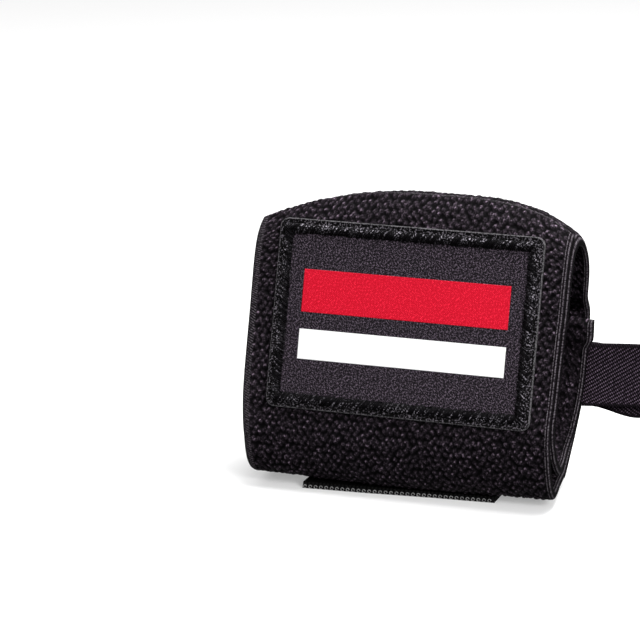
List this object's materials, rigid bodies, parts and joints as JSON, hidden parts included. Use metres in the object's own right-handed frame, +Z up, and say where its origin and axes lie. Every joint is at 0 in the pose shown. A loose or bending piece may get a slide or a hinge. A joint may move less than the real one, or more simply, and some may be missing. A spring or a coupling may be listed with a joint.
{
  "type": "wrist wrap",
  "caption": "Wide elastic wrist wrap rolled up and lying on its side, with a sewn-on label, hook tape underneath and a thumb loop out of its right end.",
  "frame": {"origin": "under the middle of the whole part's box, on the surface it rests on", "axes": "+X along the roll's axis towards the thumb loop, +Y from the label's side to the back, +Z up"},
  "size_m": [0.1222, 0.0412, 0.0711],
  "materials": {
    "pebbled_elastic": "matt black pebbled elastic weave with a faint violet tinge",
    "label_twill": "fine charcoal twill with a slight sheen",
    "overlock_thread": "raised black overlock stitching, slightly shiny thread",
    "hook_tape": "black woven nylon tape with stiff hooks",
    "loop_elastic": "black narrow twill elastic"
  },
  "bodies": {
    "root": {"elastic_band": "pebbled_elastic", "label_panel": "label_twill", "label_border": "overlock_thread", "hook_tape": "hook_tape", "thumb_loop": "loop_elastic"}
  },
  "joints": []
}
